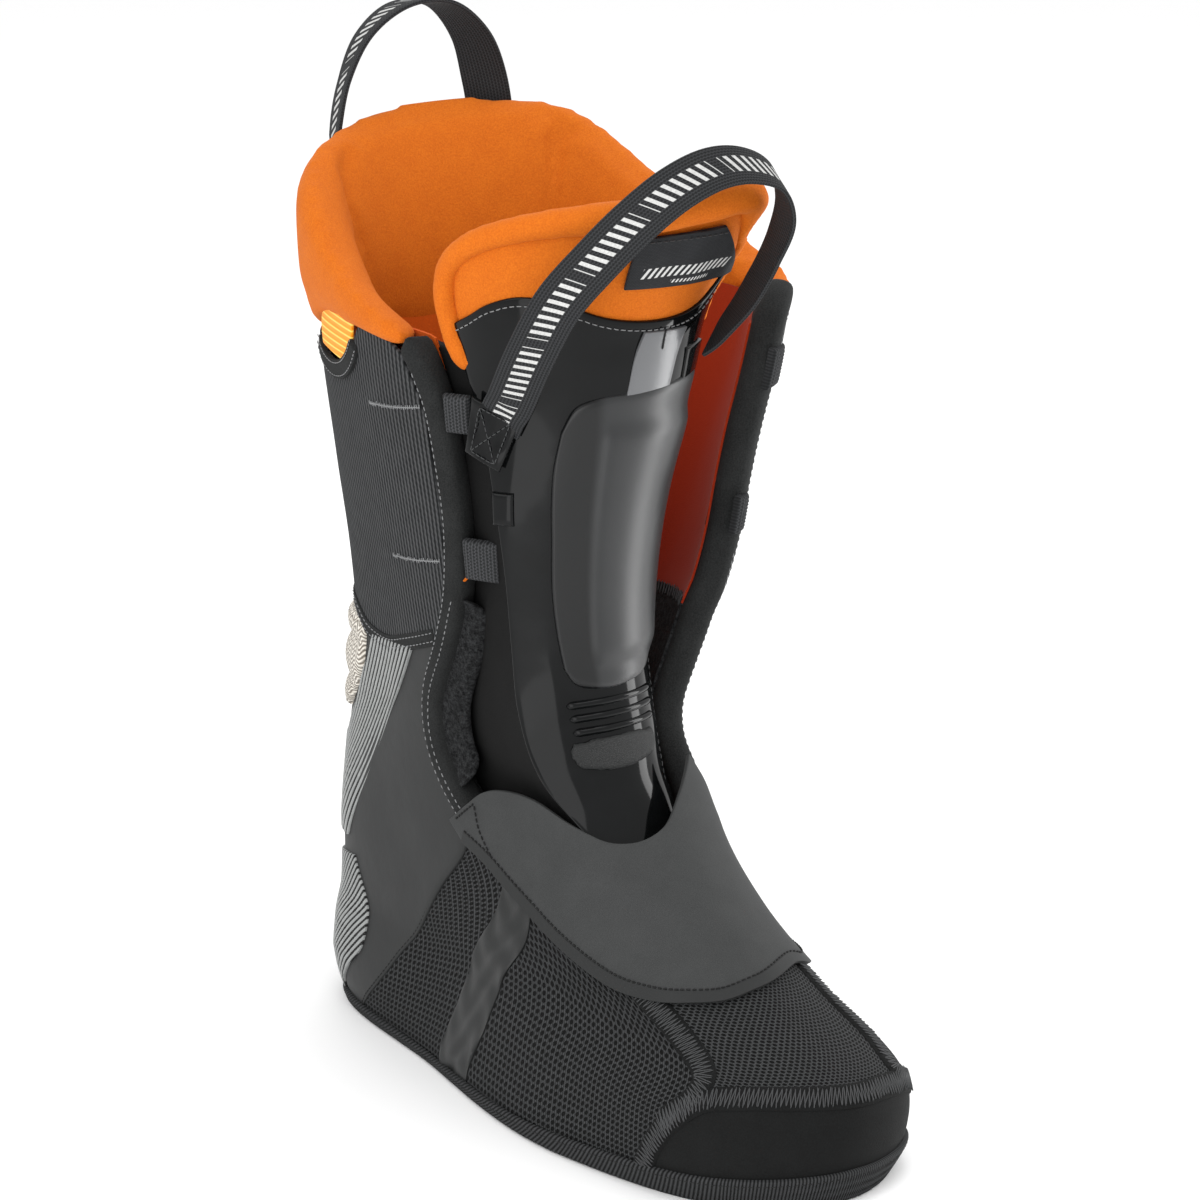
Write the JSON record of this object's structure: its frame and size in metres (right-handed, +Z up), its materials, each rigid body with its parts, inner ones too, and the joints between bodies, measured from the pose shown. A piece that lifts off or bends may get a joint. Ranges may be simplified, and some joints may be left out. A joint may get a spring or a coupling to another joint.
{
  "type": "alpine ski boot liner",
  "caption": "Removable padded inner boot for an alpine ski boot, right foot, with hinged tongue, opening cuff flaps, soft collar and pull loops.",
  "frame": {"origin": "on the flat underside of the sole, below the front of the ankle", "axes": "+Z up, the toe points to -Y, -X is the outer side of the right foot"},
  "size_m": [0.1669, 0.3057, 0.3802],
  "materials": {
    "sole_rubber": "matte",
    "ribbed_tape": "ribbed webbing tape",
    "board": "pressed fibre board, matte",
    "footbed_cloth": "brushed cloth over foam",
    "moulded_foam": "closed-cell foam",
    "black_fleece": "brushed fleece",
    "red_lining": "brushed microfibre",
    "orange_microfibre": "fine microfibre over foam",
    "silver_print": "knit with diagonal silver bars",
    "quarter_film": "bonded film, satin",
    "hex_mesh": "hexagonal mesh",
    "grey_film": "satin",
    "grey_microfibre": "fine matte microfibre",
    "toe_neoprene": "fine-grain neoprene cloth",
    "cuff_knit": "fine ribbed knit",
    "black_binding": "smooth stretch binding",
    "gloss_shell": "glossy moulded film",
    "soft_pad": "soft synthetic leather",
    "tongue_cloth": "woven, smooth",
    "webbing": "ribbed webbing"
  },
  "bodies": {
    "root": {"outsole": "sole_rubber", "sole_binding": "ribbed_tape", "sole_board": "board", "footbed": "footbed_cloth", "forefoot_foam": "moulded_foam", "forefoot_lining": "black_fleece", "heel_foam": "moulded_foam", "heel_lining": "black_fleece", "heel_panel": "silver_print", "quarter_lateral": "quarter_film", "quarter_medial": "quarter_film", "vamp_mesh_lateral": "hex_mesh", "vamp_mesh_medial": "hex_mesh", "forefoot_band_lateral": "grey_film", "forefoot_band_medial": "grey_film", "vamp_lateral": "hex_mesh", "vamp_medial": "hex_mesh", "toe_bumper": "toe_neoprene", "toe_panel": "toe_neoprene", "instep_cover": "grey_microfibre", "cuff_back_foam": "moulded_foam", "cuff_back_lining": "red_lining", "achilles_knit": "silver_print", "cuff_back_panel": "cuff_knit", "collar_back": "orange_microfibre", "tongue_base_shell": "gloss_shell", "tongue_base_foam": "moulded_foam", "tongue_soft_pad": "soft_pad", "rear_pull_anchor_lateral": "webbing", "rear_pull_anchor_medial": "webbing"},
    "tongue": {"tongue_shell": "gloss_shell", "tongue_foam": "orange_microfibre", "tongue_rim": "orange_microfibre", "tongue_top_panel": "tongue_cloth", "shin_plate": "grey_film", "tongue_label": "tongue_cloth", "flex_rib_1": "gloss_shell", "flex_rib_2": "gloss_shell", "flex_rib_3": "gloss_shell", "tongue_tab_lateral": "webbing", "tongue_tab_medial": "webbing"},
    "tongue_pull": {"tongue_pull_strap": "webbing"},
    "rear_pull": {"rear_pull_strap": "webbing"},
    "lateral_flap": {"lateral_flap_foam": "moulded_foam", "lateral_flap_panel": "cuff_knit", "lateral_flap_lining": "black_fleece", "lateral_edge_binding": "black_binding", "collar_lateral": "orange_microfibre"},
    "medial_flap": {"medial_flap_foam": "moulded_foam", "medial_flap_panel": "cuff_knit", "medial_flap_lining": "red_lining", "medial_edge_binding": "black_binding", "collar_medial": "orange_microfibre"},
    "lace_loop_lateral_upper": {"lace_loop_lateral_upper": "webbing"},
    "lace_loop_lateral_lower": {"lace_loop_lateral_lower": "webbing"},
    "lace_loop_medial_upper": {"lace_loop_medial_upper": "webbing"},
    "lace_loop_medial_lower": {"lace_loop_medial_lower": "webbing"}
  },
  "joints": [
    {"name": "tongue_fold", "type": "hinge", "parent": "root", "child": "tongue", "pos_m": [-0.01, -0.087, 0.144], "axis": [1, 0, 0], "range_deg": [0, 35], "stiffness_Nm_per_rad": 1.2},
    {"name": "tongue_pull_flop", "type": "hinge", "parent": "tongue", "child": "tongue_pull", "pos_m": [-0.046, -0.08, 0.26], "axis": [0.968, -0.1465, 0.2038], "range_deg": [0, 60], "stiffness_Nm_per_rad": 0.06},
    {"name": "rear_pull_flop", "type": "hinge", "parent": "root", "child": "rear_pull", "pos_m": [-0.024, 0.081, 0.311], "axis": [0.9999, -0.0149, 0], "range_deg": [-60, 0], "stiffness_Nm_per_rad": 0.06},
    {"name": "lateral_flap_fold", "type": "hinge", "parent": "root", "child": "lateral_flap", "pos_m": [-0.0484, 0.0138, 0.187], "axis": [0.0624, -0.3302, -0.9418], "range_deg": [0, 25], "stiffness_Nm_per_rad": 1},
    {"name": "medial_flap_fold", "type": "hinge", "parent": "root", "child": "medial_flap", "pos_m": [0.0548, -0.0022, 0.187], "axis": [0.1458, 0.4891, 0.8599], "range_deg": [0, 25], "stiffness_Nm_per_rad": 1.2},
    {"name": "lace_loop_lateral_upper_flop", "type": "hinge", "parent": "lateral_flap", "child": "lace_loop_lateral_upper", "pos_m": [-0.0551, -0.0549, 0.2671], "axis": [0.138, 0.0937, -0.986], "range_deg": [0, 30], "stiffness_Nm_per_rad": 0.01},
    {"name": "lace_loop_lateral_lower_flop", "type": "hinge", "parent": "lateral_flap", "child": "lace_loop_lateral_lower", "pos_m": [-0.0462, -0.0513, 0.2121], "axis": [0.1286, 0.0692, -0.9893], "range_deg": [0, 30], "stiffness_Nm_per_rad": 0.01},
    {"name": "lace_loop_medial_upper_flop", "type": "hinge", "parent": "medial_flap", "child": "lace_loop_medial_upper", "pos_m": [0.0624, -0.0804, 0.2551], "axis": [0.1987, -0.1454, 0.9692], "range_deg": [0, 30], "stiffness_Nm_per_rad": 0.01},
    {"name": "lace_loop_medial_lower_flop", "type": "hinge", "parent": "medial_flap", "child": "lace_loop_medial_lower", "pos_m": [0.0491, -0.0747, 0.2001], "axis": [0.2139, -0.0924, 0.9725], "range_deg": [0, 30], "stiffness_Nm_per_rad": 0.01}
  ]
}
